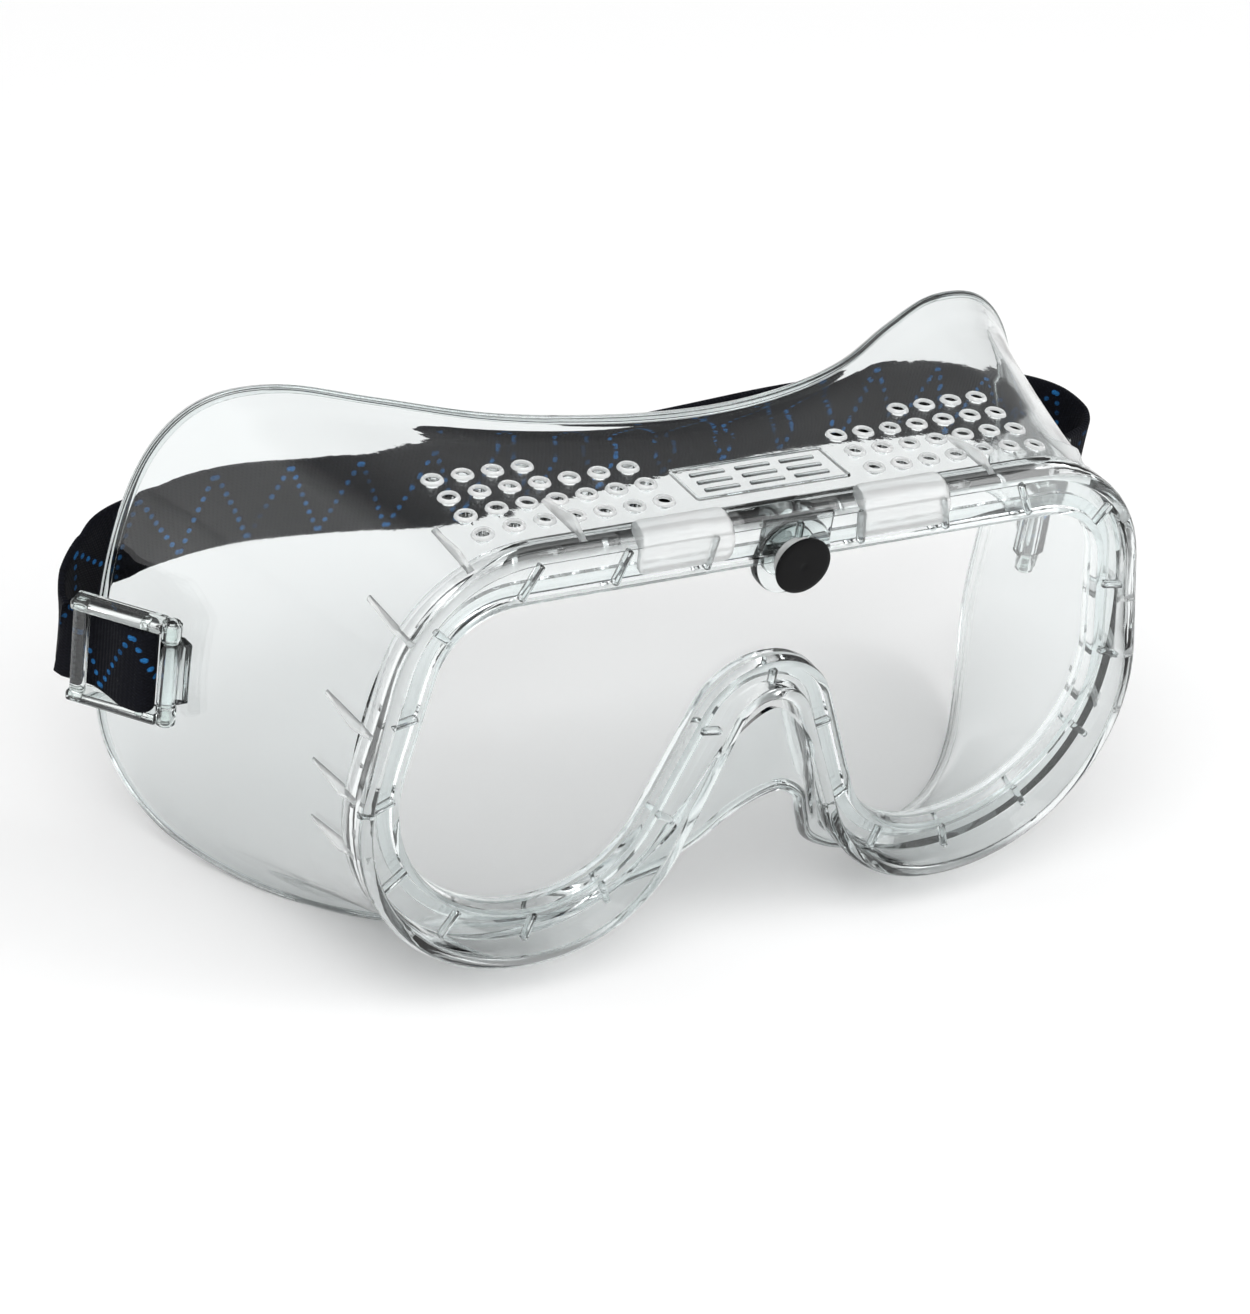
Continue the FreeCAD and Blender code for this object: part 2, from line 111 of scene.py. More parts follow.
# Vents in the top wall, and the plain raised border between them
VENT_RADIUS = 1.15
VENT_FIRST_X = 19.7
VENT_PITCH_X = 5.33
VENT_FIRST_Y = 7.9
VENT_PITCH_Y = 5.93
VENT_COLUMNS = 7
VENT_ROWS = 4
BACK_ROW_FIRST_COLUMN = 3
BORDER_HALF_X = 13.7
BORDER_HALF_Y = 4.4
BORDER_CENTRE_Y = 11.5
BORDER_CORNER = 0.8

# Rim: heights of its front face, recess and back, and the lean of its ridge
RIM_FRONT_Y = -2.0
RECESS_Y = -1.2
RIM_BACK_Y = 2.8
RIM_TOP_Z = 27.8
RIDGE_LEAN = math.radians(3.5)
TOP_ROUND = 3.5
TOP_ROUND_END_X = 62
TOP_ROUND_FADE = 16
BRIDGES = 26
BEAD_AND_RECESS = [
    (OPENING, 0, -0.02), (OPENING, 0, -1.5), (OPENING, 0.15, -1.85), (OPENING, 0.5, -2.0),
    (OPENING, 1.1, -2.0), (OPENING, 1.4, -1.85), (OPENING, 1.5, -1.5),
    (OPENING, 1.6, RECESS_Y), (RIM_EDGE, -2.6, RECESS_Y), (RIM_EDGE, -2.4, -1.5)]
# Inset from the rim's edge and distance behind the ridge's front
RIDGE = [(2.4, 0.5), (2.2, 0.15), (1.9, 0.0), (0.9, 0.0), (0.35, 0.25), (0.05, 0.7),
         (0.0, 1.2)]
BACK_AND_GROOVE = [
    (RIM_EDGE, 0, 2.2), (RIM_EDGE, -0.15, 2.6), (RIM_EDGE, -0.5, 2.8), (OPENING, 0.4, 2.8),
    (OPENING, 0.1, 2.65), (OPENING, 0, 2.3), (OPENING, 0, 1.42), (OPENING, 3.45, 1.42),
    (OPENING, 3.45, -0.02)]

# Pads each side of the stud: section as y and z, and x and shrink along the pad
PAD_PROFILE = [(-1.1, 20.4), (-1.9, 20.5), (-2.3, 21.0), (-2.42, 22.2), (-2.4, 23.9),
               (-2.1, 25.3), (-1.4, 26.6), (-0.3, 27.55), (1.2, 28.0), (2.6, 27.9),
               (2.6, 26.4), (-1.0, 24.8)]
PAD_ENDS = [(11.9, 0.5), (12.1, 0.75), (12.6, 0.95), (13.4, 1.0),
            (27.4, 1.0), (28.2, 0.95), (28.7, 0.75), (28.9, 0.5)]
PAD_CENTRE_Y = -0.4
PAD_CENTRE_Z = 24.2

TOP_FIN_X = (38.0, 57.0)
FLANK_FIN_Z = (14.0, -2.0, -14.0, -25.0)

STUD_Z = 19.0
PIN = np.array([86.0, 43.6, -15.4])
CLIP_ANGLE = math.radians(43.5)
CLIP_LENGTH = 15.5
CLIP_HEIGHT = 19.6
PIN_RADIUS = 0.8
FRONT_BAR_ALONG = 4.3
FRONT_BAR_OUT = 0.4
LOOP_OUT = -1.7
STRAP_WIDTH = 15.4
STRAP_THICKNESS = 1.3
TACK_THREADS = 12

# Sockets of a Mix node that mixes colours
MIX_SHARE, MIX_A, MIX_B, MIX_RESULT = 0, 6, 7, 2


# ---------------------------------------------------------------- materials

class Nodes:
    """Short way to write a node tree."""

    def __init__(self, tree):
        self.tree = tree

    def add(self, kind, **settings):
        node = self.tree.nodes.new(kind)
        for key, value in settings.items():
            setattr(node, key, value)
        return node

    def link(self, output, node, socket):
        self.tree.links.new(output, node.inputs[socket])

    def math(self, operation, a, b=None, c=None):
        node = self.add("ShaderNodeMath", operation=operation)
        for i, value in enumerate((a, b, c)):
            if value is None:
                continue
            if isinstance(value, (int, float)):
                node.inputs[i].default_value = value
            else:
                self.tree.links.new(value, node.inputs[i])
        return node.outputs[0]


def new_material(name):
    material = bpy.data.materials.new(name)
    material.use_nodes = True
    tree = material.node_tree
    return material, Nodes(tree), tree.nodes["Principled BSDF"]


def noise(nodes, coordinates, scale, detail=3.0):
    node = nodes.add("ShaderNodeTexNoise")
    node.inputs["Scale"].default_value = scale
    node.inputs["Detail"].default_value = detail
    nodes.link(coordinates, node, "Vector")
    return node.outputs["Fac"]


def ranged(nodes, value, low, high, from_low=0.3, from_high=0.7):
    node = nodes.add("ShaderNodeMapRange")
    node.inputs["From Min"].default_value = from_low
    node.inputs["From Max"].default_value = from_high
    node.inputs["To Min"].default_value = low
    node.inputs["To Max"].default_value = high
    nodes.link(value, node, "Value")
    return node.outputs["Result"]


def between(nodes, share, first, second):
    """Colour between two, all the first at a share of 0."""
    mix = nodes.add("ShaderNodeMix", data_type="RGBA")
    mix.inputs[MIX_A].default_value = (*first, 1)
    mix.inputs[MIX_B].default_value = (*second, 1)
    nodes.link(share, mix, MIX_SHARE)
    return mix.outputs[MIX_RESULT]


def bumped(nodes, shader, height, strength, distance):
    node = nodes.add("ShaderNodeBump")
    node.inputs["Strength"].default_value = strength
    node.inputs["Distance"].default_value = distance
    nodes.link(height, node, "Height")
    nodes.link(node.outputs["Normal"], shader, "Normal")


def clear_material(name, colour, ior, roughness, waviness):
    """Clear moulded plastic: slight haze that varies and a soft unevenness."""
    material, nodes, shader = new_material(name)
    position = nodes.add("ShaderNodeTexCoord").outputs["Object"]
    shader.inputs["Base Color"].default_value = (*colour, 1)
    shader.inputs["Transmission Weight"].default_value = 1.0
    shader.inputs["IOR"].default_value = ior
    cloud = noise(nodes, position, 38.0)
    nodes.link(ranged(nodes, cloud, *roughness), shader, "Roughness")
    swell = noise(nodes, position, 55.0, 1.0)
    fine = noise(nodes, position, 900.0, 2.0)
    height = nodes.math("ADD", swell, nodes.math("MULTIPLY", fine, 0.04))
    bumped(nodes, shader, height, 1.0, waviness)
    return material


def highlight_white_material():
    """Thick clear vinyl with a white diffuse share in the mass, a painted highlight standing
    in for overhead light on rounded clear edges; its tint varies at random, with a soft
    uneven gloss.
    """
    material, nodes, shader = new_material("painted_highlight_vinyl")
    position = nodes.add("ShaderNodeTexCoord").outputs["Object"]
    shader.inputs["Transmission Weight"].default_value = 0.62
    shader.inputs["IOR"].default_value = 1.3
    cloud = noise(nodes, position, 140.0)
    tint = between(nodes, ranged(nodes, cloud, 0.0, 1.0), (0.93, 0.95, 0.95),
                   (1.0, 1.0, 1.0))
    nodes.link(tint, shader, "Base Color")
    nodes.link(ranged(nodes, cloud, 0.1, 0.24), shader, "Roughness")
    fine = noise(nodes, position, 700.0, 2.0)
    bumped(nodes, shader, fine, 0.5, 0.00003)
    return material


def black_plastic():
    """Matt black plastic with a fine grain."""
    material, nodes, shader = new_material("stud_black")
    position = nodes.add("ShaderNodeTexCoord").outputs["Object"]
    grain = noise(nodes, position, 2600.0)
    cloud = noise(nodes, position, 160.0)
    shader.inputs["Specular IOR Level"].default_value = 0.1
    shade = between(nodes, cloud, (0.002, 0.002, 0.0022), (0.005, 0.005, 0.0055))
    nodes.link(shade, shader, "Base Color")
    nodes.link(ranged(nodes, cloud, 0.32, 0.46), shader, "Roughness")
    bumped(nodes, shader, grain, 0.35, 0.00006)
    return material


def elastic():
    """Black knitted elastic with cross ribs and a dotted blue zigzag thread."""
    material, nodes, shader = new_material("elastic_black")
    uv = nodes.add("ShaderNodeUVMap", uv_map="flat").outputs["UV"]
    split = nodes.add("ShaderNodeSeparateXYZ")
    nodes.link(uv, split, 0)
    along = nodes.math("MULTIPLY", split.outputs[0], 1000.0)
    across = nodes.math("MULTIPLY", split.outputs[1], 1000.0)
    # Zigzag's half width and period, rows of dots, ribs along and wales across, in mm
    half_width, period, pitch = 6.9, 13.4, 1.8
    rib_pitch, wale_pitch = 0.8, 0.62
    row = nodes.math("ADD", nodes.math("FLOOR", nodes.math("DIVIDE", across, pitch)), 0.5)
    row_at = nodes.math("MULTIPLY", row, pitch)
    fold = nodes.math("FRACT", nodes.math("DIVIDE", along, period))
    fold = nodes.math("ABSOLUTE", nodes.math("SUBTRACT", fold, 0.5))
    fold = nodes.math("MULTIPLY", fold, 2.0)
    line = nodes.math("MULTIPLY_ADD", row_at, 0.5 / half_width, 0.5)
    off_along = nodes.math("MULTIPLY", nodes.math("SUBTRACT", fold, line), period / 2)
    off_across = nodes.math("SUBTRACT", across, row_at)
    squares = nodes.math("ADD", nodes.math("MULTIPLY", off_along, off_along),
                         nodes.math("MULTIPLY", off_across, off_across))
    reach = nodes.math("SQRT", squares)
    dot = ranged(nodes, reach, 1.0, 0.0, 0.4, 0.56)
    on_face = nodes.math("LESS_THAN", nodes.math("ABSOLUTE", row_at), half_width)
    dot = nodes.math("MULTIPLY", dot, on_face)
    worn = noise(nodes, uv, 95.0, 2.0)
    dot = nodes.math("MULTIPLY", dot, ranged(nodes, worn, 0.12, 1.0, 0.38, 0.62))
    ribs = nodes.math("SINE", nodes.math("MULTIPLY", along, 2 * math.pi / rib_pitch))
    wales = nodes.math("SINE", nodes.math("MULTIPLY", across, 2 * math.pi / wale_pitch))
    knit = nodes.math("MULTIPLY", ribs, wales)
    fuzz = noise(nodes, uv, 2400.0)
    yarn = between(nodes, dot, (0.0025, 0.003, 0.006), (0.02, 0.17, 0.45))
    shade = nodes.add("ShaderNodeMix", data_type="RGBA", blend_type="MULTIPLY")
    shade.inputs[MIX_SHARE].default_value = 1.0
    nodes.link(yarn, shade, MIX_A)
    grey = nodes.add("ShaderNodeCombineColor")
    level = nodes.math("ADD", ranged(nodes, fuzz, 0.5, 1.2),
                       nodes.math("MULTIPLY", knit, 0.18))
    for socket in range(3):
        nodes.link(level, grey, socket)
    nodes.link(grey.outputs[0], shade, MIX_B)
    nodes.link(shade.outputs[MIX_RESULT], shader, "Base Color")
    shader.inputs["Roughness"].default_value = 0.85
    shader.inputs["Specular IOR Level"].default_value = 0.12
    shader.inputs["Sheen Weight"].default_value = 0.015
    shader.inputs["Sheen Roughness"].default_value = 0.5
    height = nodes.math("ADD", nodes.math("MULTIPLY", knit, 0.4),
                        nodes.math("ADD", nodes.math("MULTIPLY", ribs, 0.35), dot))
    height = nodes.math("ADD", height, nodes.math("MULTIPLY", fuzz, 0.5))
    bumped(nodes, shader, height, 0.7, 0.00012)
    return material


def thread_black():
    """Black sewing thread, a little lighter where it fuzzes."""
    material, nodes, shader = new_material("thread_black")
    position = nodes.add("ShaderNodeTexCoord").outputs["Object"]
    fuzz = noise(nodes, position, 3000.0)
    shade = between(nodes, ranged(nodes, fuzz, 0.0, 1.0), (0.006, 0.007, 0.01),
                    (0.03, 0.035, 0.05))
    nodes.link(shade, shader, "Base Color")
    shader.inputs["Roughness"].default_value = 0.7
    bumped(nodes, shader, fuzz, 0.6, 0.0001)
    return material


VINYL = clear_material("clear_vinyl", (0.915, 0.945, 0.945), 1.47, (0.0, 0.05), 0.00006)
# Vinyl whose white diffuse share is a painted highlight
HIGHLIGHT_WHITE = highlight_white_material()
LENS = clear_material("clear_lens", (0.985, 0.99, 0.99), 1.49, (0.0, 0.02), 0.00001)
CLIP = clear_material("clear_clip", (0.9, 0.94, 0.93), 1.5, (0.01, 0.05), 0.00004)
BLACK = black_plastic()
ELASTIC = elastic()
THREAD = thread_black()


# ------------------------------------------------------------- mesh helpers

def smooth_curve(points, steps, closed):
    """Catmull-Rom curve through the points, steps samples to each span."""
    points = np.asarray(points, float)
    n = len(points)
    spans = n if closed else n - 1
    found = []
    for i in range(spans):
        if closed:
            p = [points[(i + k) % n] for k in (-1, 0, 1, 2)]
        else:
            p = [points[min(max(i + k, 0), n - 1)] for k in (-1, 0, 1, 2)]
        for s in range(steps):
            t = s / steps
            found.append(0.5 * (2 * p[1] + (p[2] - p[0]) * t
                                + (2 * p[0] - 5 * p[1] + 4 * p[2] - p[3]) * t ** 2
                                + (3 * p[1] - p[0] - 3 * p[2] + p[3]) * t ** 3))
    if not closed:
        found.append(points[-1])
    return np.array(found)


def outline(corners, grow=0.0, y=0.0):
    """Points round the whole outline at one y, moved outwards by grow."""
    flat = [np.array([x, z], float) for x, z, _ in corners]
    points, normals = [], []
    start = flat[0]
    for k in range(1, len(corners)):
        last_one = k == len(corners) - 1
        corner, radius = flat[k], corners[k][2]
        travel = (corner - flat[k - 1]) / np.linalg.norm(corner - flat[k - 1])
        if last_one:
            end = corner
        else:
            leave = (flat[k + 1] - corner) / np.linalg.norm(flat[k + 1] - corner)
            half = math.acos(float(np.clip(-travel @ leave, -1, 1))) / 2
            end = corner - travel * radius / math.tan(half)
        side = np.array([-travel[1], travel[0]])
        for s in range(1 if k > 1 else 0, LINE_STEPS[k - 1]):
            points.append(start + (end - start) * s / LINE_STEPS[k - 1])
            normals.append(side)
        if last_one:
            points.append(end)
            normals.append(side)
            break
        bend = -1 if travel[0] * leave[1] - travel[1] * leave[0] < 0 else 1
        centre = end - side * radius * -bend
        turn = math.pi - 2 * half
        for s in range(ARC_STEPS[k - 1] + 1):
            a = turn * s / ARC_STEPS[k - 1] * bend
            spin = np.array([[math.cos(a), -math.sin(a)], [math.sin(a), math.cos(a)]])
            points.append(centre + spin @ (end - centre))
            normals.append(spin @ side)
        start = points[-1]
    half_loop = [p + n * grow for p, n in zip(points, normals)]
    whole = half_loop + [p * (-1, 1) for p in half_loop[-2:0:-1]]
    return np.array([[p[0], y, p[1]] for p in whole])


def dressed(obj, material, body):
    """Gives a piece its finish, soft shading, body and material slot."""
    obj.data.materials.clear()
    obj.data.materials.append(material)
    obj.data.set_sharp_from_angle(angle=SHARP_ANGLE)
    obj.data.polygons.foreach_set("use_smooth", [True] * len(obj.data.polygons))
    if body:
        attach(obj, body)
    return obj


class Shape:
    """A moulding in the making: closed solids gathered in one mesh, in millimetres."""

    def __init__(self):
        self.work = bmesh.new()

    def gather(self, solid):
        """Adds a finished solid and lets go of it."""
        mesh = bpy.data.meshes.new("solid")
        solid.to_mesh(mesh)
        solid.free()
        self.work.from_mesh(mesh)
        bpy.data.meshes.remove(mesh)
        return self

    def skin(self, rows, tube=True, lengths=None):
        """Grid laid through rows of points, each row closed into a ring. A tube joins
        its last row to its first; otherwise both ends are capped. The lengths, along
        and across for each point, become the flat map of a woven piece."""
        points = np.asarray(rows, float)
        points = np.concatenate([points, points[:, :1]], axis=1)
        if tube:
            points = np.concatenate([points, points[:1]])
        down, across = points.shape[0] - 1, points.shape[1] - 1
        solid = bmesh.new()
        flat = solid.verts.layers.float_vector.new("lengths")
        grid = bmesh.ops.create_grid(solid, x_segments=across, y_segments=down, size=1.0)
        for vert in grid["verts"]:
            i = round((vert.co.x + 1) / 2 * across)
            j = round((vert.co.y + 1) / 2 * down)
            vert.co = points[j, i]
            if lengths is not None:
                vert[flat] = (*lengths[j][i % across], 0)
        bmesh.ops.remove_doubles(solid, verts=solid.verts, dist=MERGE_DISTANCE)
        if not tube:
            ends = [edge for edge in solid.edges if edge.is_boundary]
            bmesh.ops.holes_fill(solid, edges=ends, sides=0)
        if lengths is not None:
            layer = solid.loops.layers.uv.new("flat")
            for face in solid.faces:
                for loop in face.loops:
                    loop[layer].uv = loop.vert[flat].xy * MM
        return self.gather(solid)

    def lathe(self, profile, centre, axis, steps=40):
        """Spins (distance along the axis, radius) pairs into a closed round solid."""
        centre, axis = Vector(centre), Vector(axis).normalized()
        side = axis.orthogonal().normalized()
        solid = bmesh.new()
        chain = [solid.verts.new(centre + axis * along + side * radius)
                 for along, radius in profile]
        pairs = list(zip(chain, chain[1:]))
        if profile[0][1] > 0.01:
            pairs.append((chain[-1], chain[0]))
        edges = [solid.edges.new(pair) for pair in pairs]
        bmesh.ops.spin(solid, geom=chain + edges, cent=centre, axis=axis, steps=steps,
                       angle=2 * math.pi, use_merge=True)
        bmesh.ops.remove_doubles(solid, verts=solid.verts, dist=MERGE_DISTANCE)
        return self.gather(solid)

    def block(self, centre, along, across, size, round_by=0.3, steps=3):
        """Box with rounded edges: size along, across and up the third direction."""
        along, across = Vector(along).normalized(), Vector(across).normalized()
        place = Matrix((along, across, along.cross(across))).transposed().to_4x4()
        place.translation = Vector(centre)
        solid = bmesh.new()
        bmesh.ops.create_cube(solid, size=1.0)
        bmesh.ops.scale(solid, verts=solid.verts, vec=size)
        bmesh.ops.bevel(solid, geom=solid.edges, offset=min(round_by, min(size) * 0.47),
                        offset_type="OFFSET", segments=steps, profile=0.5,
                        affect="EDGES", material=-1, clamp_overlap=True)
        bmesh.ops.transform(solid, matrix=place, verts=solid.verts)
        return self.gather(solid)

    def flipped(self, side):
        """Turns the whole shape over to the left when side is -1."""
        bmesh.ops.scale(self.work, verts=self.work.verts, vec=(side, 1, 1))
        return self

    def mirrored(self):
        """Adds the same solids on the other side of the middle plane."""
        whole = self.work.verts[:] + self.work.edges[:] + self.work.faces[:]
        copy = bmesh.ops.duplicate(self.work, geom=whole)["geom"]
        verts = [item for item in copy if isinstance(item, bmesh.types.BMVert)]
        bmesh.ops.scale(self.work, verts=verts, vec=(-1, 1, 1))
        return self

    def obj(self, name, material, body, slot):
        """The finished piece, in metres; the slot is not used."""
        bmesh.ops.scale(self.work, verts=self.work.verts, vec=(MM, MM, MM))
        bmesh.ops.recalc_face_normals(self.work, faces=self.work.faces)
        mesh = bpy.data.meshes.new(name)
        self.work.to_mesh(mesh)
        self.work.free()
        piece = bpy.data.objects.new(name, mesh)
        bpy.context.collection.objects.link(piece)
        return dressed(piece, material, body)


# -------------------------------------------------------------- cup and rim

def wall_rows():
    """Outer points of the cup wall: rows from the rim to the back edge."""
    levels = []
    for level, flare in WALL_LEVELS:
        half = []
        for front, back in WALL_RUNS:
            front = np.array(front, float)
            if front[1] == WALL_START_Y:
                front[1] = RIM_BACK_Y + 0.02
            half.append(front + (np.array(back, float) - front) * level)
        row = np.array(half + [p * (-1, 1, 1) for p in half[-2:0:-1]])
        around = np.roll(row, -1, 0) - np.roll(row, 1, 0)
        outwards = np.stack([-around[:, 2], 0 * around[:, 0], around[:, 0]], 1)
        outwards /= np.linalg.norm(outwards, axis=1)[:, None]
        levels.append(smooth_curve(row + outwards * flare, WALL_STEPS_AROUND, True))
    columns = [smooth_curve(column, WALL_STEPS_BACK, False)
               for column in np.array(levels).swapaxes(0, 1)]
    return np.array(columns).swapaxes(0, 1)


def grid_normals(rows):
    """Outward unit normal at each point of a grid of rows."""
    around = np.roll(rows, -1, 1) - np.roll(rows, 1, 1)
    along = np.gradient(rows, axis=0)
    normals = np.cross(around, along)
    return normals / np.linalg.norm(normals, axis=2)[:, :, None]


WALL = wall_rows()
WALL_NORMALS = grid_normals(WALL)


def wall_at(x, y):
    """Point and normal of the top wall's outer face over one x and y."""
    top = WALL[..., 2] > TOP_RUN_LOW_Z
    far = (WALL[..., 0] - x) ** 2 + (WALL[..., 1] - y) ** 2 + np.where(top, 0, 1e6)
    j, i = np.unravel_index(np.argmin(far), far.shape)
    normal = WALL_NORMALS[j, i]
    point = WALL[j, i]
    slope = (normal[0] * (x - point[0]) + normal[1] * (y - point[1])) / normal[2]
    return np.array([x, y, point[2] - slope]), normal


def vent_places():
    """Point and normal of each vent; the back row starts further out."""
    for row in range(VENT_ROWS):
        first = BACK_ROW_FIRST_COLUMN if row == VENT_ROWS - 1 else 0
        for column in range(first, VENT_COLUMNS):
            for side in (-1, 1):
                yield wall_at(side * (VENT_FIRST_X + VENT_PITCH_X * column),
                              VENT_FIRST_Y + VENT_PITCH_Y * row)


def cup():
    """Cup wall pierced by the vents, and the bead along its back edge."""
    shape = Shape()
    inner = WALL - WALL_NORMALS * WALL_THICKNESS
    middle = WALL[-1] - WALL_NORMALS[-1] * WALL_THICKNESS / 2
    tip = WALL[-1] - WALL[-2]
    tip /= np.linalg.norm(tip, axis=1)[:, None]
    rows = list(WALL[:-1]) + [WALL[-1] + WALL_NORMALS[-1] * 0.12]
    rows += [WALL[-1] + tip * 0.3 - WALL_NORMALS[-1] * 0.2,
             middle + tip * 0.5,
             inner[-1] + tip * 0.3 + WALL_NORMALS[-1] * 0.2]
    rows += [inner[-1] - WALL_NORMALS[-1] * 0.12] + list(inner[-2::-1])
    shape.skin(rows)
    wall = shape.obj("cup_moulding", VINYL, None, "clear_vinyl")
    cutters = Shape()
    for point, normal in vent_places():
        cutters.lathe([(-3, 0.0), (-3, VENT_RADIUS), (2, VENT_RADIUS), (2, 0.0)], point,
                      normal, 12)
    cutter = cutters.obj("vent_cutters", VINYL, None, "clear_vinyl")
    pierce = wall.modifiers.new("vents", "BOOLEAN")
    pierce.object = cutter
    pierce.operation = "DIFFERENCE"
    pierce.solver = "EXACT"
    graph = bpy.context.evaluated_depsgraph_get()
    pierced = bpy.data.meshes.new_from_object(wall.evaluated_get(graph))
    wall.modifiers.clear()
    wall.data = pierced
    bpy.data.objects.remove(cutter)
    dressed(wall, VINYL, "frame")
    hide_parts("face_cup")
    bead = Shape()
    turns = np.arange(EDGE_BEAD_SIDES) * 2 * math.pi / EDGE_BEAD_SIDES
    bead.skin([middle + (tip * math.cos(turn) + WALL_NORMALS[-1] * math.sin(turn))
               * EDGE_BEAD_RADIUS for turn in turns])
    bead.obj("cup_edge_bead", VINYL, "frame", "clear_vinyl")


def ridge_y(point):
    """Front of the ridge, which leans forward towards the bottom."""
    return RIM_FRONT_Y - (RIM_TOP_Z - point[2]) * math.tan(RIDGE_LEAN)


def along_top(point):
    """1 on the straight top edge of the rim, fading to 0 round its corners."""
    if point[2] <= TOP_RUN_LOW_Z:
        return 0
    t = min(max((TOP_ROUND_END_X - abs(point[0])) / TOP_ROUND_FADE, 0), 1)
    return t * t * (3 - 2 * t)


def rim():
    """Rim with lens groove, bead, recess with its bridges, and leaning ridge."""
    shape = Shape()
    rows = [outline(*place) for place in BEAD_AND_RECESS]
    for inset, back in RIDGE:
        row = outline(RIM_EDGE, -inset)
        drop = TOP_ROUND - math.sqrt(TOP_ROUND ** 2 - (TOP_ROUND - inset) ** 2)
        for point in row:
            sharp = min(ridge_y(point) + back, RECESS_Y - 0.05 * (1 - back))
            share = along_top(point)
            point[1] = sharp * (1 - share) + (RIM_FRONT_Y + drop) * share
        rows.append(row)
    rows += [outline(*place) for place in BACK_AND_GROOVE]
    shape.skin(rows)
    middle = outline(OPENING, 4.0)
    total = np.cumsum(np.linalg.norm(np.roll(middle, -1, 0) - middle, axis=1))
    inner_ends, outer_ends = outline(OPENING, 1.3), outline(RIM_EDGE, -2.2)
    for k in range(BRIDGES):
        i = int(np.searchsorted(total, total[-1] * k / BRIDGES + 0.01)) % len(middle)
        inner, outer = inner_ends[i], outer_ends[i]
        span = np.linalg.norm(outer - inner)
        shape.block((inner + outer) / 2 + Y * -1.85, outer - inner, Y, (span, 1.5, 1.1), 0.3)
    rim_object = shape.obj("rim_moulding", VINYL, "frame", "clear_vinyl")
    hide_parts("lens_rim")


def brow_pads():
    """Two rounded bars that fill the recess each side of the stud tab."""
    shape = Shape()
    for side in (-1, 1):
        rows = []
        for x, shrink in PAD_ENDS:
            shrink_y = 0.7 + 0.3 * shrink
            rows.append([(side * x, PAD_CENTRE_Y + (y - PAD_CENTRE_Y) * shrink_y,
                          PAD_CENTRE_Z + (z - PAD_CENTRE_Z) * shrink)
                         for y, z in PAD_PROFILE])
        shape.skin(rows, tube=False)
    # The pads' white vinyl is a painted highlight of the overhead light on their rounded
    # tops
    shape.obj("brow_pads", HIGHLIGHT_WHITE, "frame", "clear_vinyl")


def wedge(shape, base, outwards, along, low, high, length, thickness):
    """Tapered fin: tall at its front, running out to nothing along the wall."""
    base = np.asarray(base, float)
    side = np.cross(outwards, along)
    side /= np.linalg.norm(side)
    profile = [(-3.6, -low, 0.6), (-3.2, 0.4, 0.5), (-1.0, high * 0.8, 0.45),
               (0.0, high, 0.4), (1.0, high * 0.93, 0.4), (length * 0.5, high * 0.5, 0.45),
               (length, -0.1, 0.5)]
    rows = []
    for a, top, width in profile:
        half = side * thickness * width
        peak = base + along * a + outwards * top
        foot = base + along * a - outwards * low
        rows.append([foot - half * 1.3, peak - half * 0.8, peak + outwards * 0.15,
                     peak + half * 0.8, foot + half * 1.3])
    shape.skin(rows, tube=False)


def fins():
    """Tapered fins behind the rim: two each side on top, four down each flank."""
    shape = Shape()
    for x in TOP_FIN_X:
        for side in (-1, 1):
            point, normal = wall_at(side * x, RIM_BACK_Y + 1.5)
            wedge(shape, point, normal, Y, 0.5, 2.1, 9.5, 0.9)
    for z in FLANK_FIN_Z:
        near = np.argmin(abs(WALL[0, :, 2] - z) + np.where(WALL[0, :, 0] > 40, 0, 1e3))
        point, normal = WALL[0, near], WALL_NORMALS[0, near]
        along = WALL[3, near] - WALL[0, near]
        along /= np.linalg.norm(along)
        for side in (1, -1):
            flip = np.array([side, 1, 1])
            wedge(shape, point * flip, normal * flip, along * flip, 0.5, 1.7, 9.0, 0.8)
    # The fins' white vinyl is a painted highlight along their edges
    shape.obj("moulded_fins", HIGHLIGHT_WHITE, "frame", "clear_vinyl")


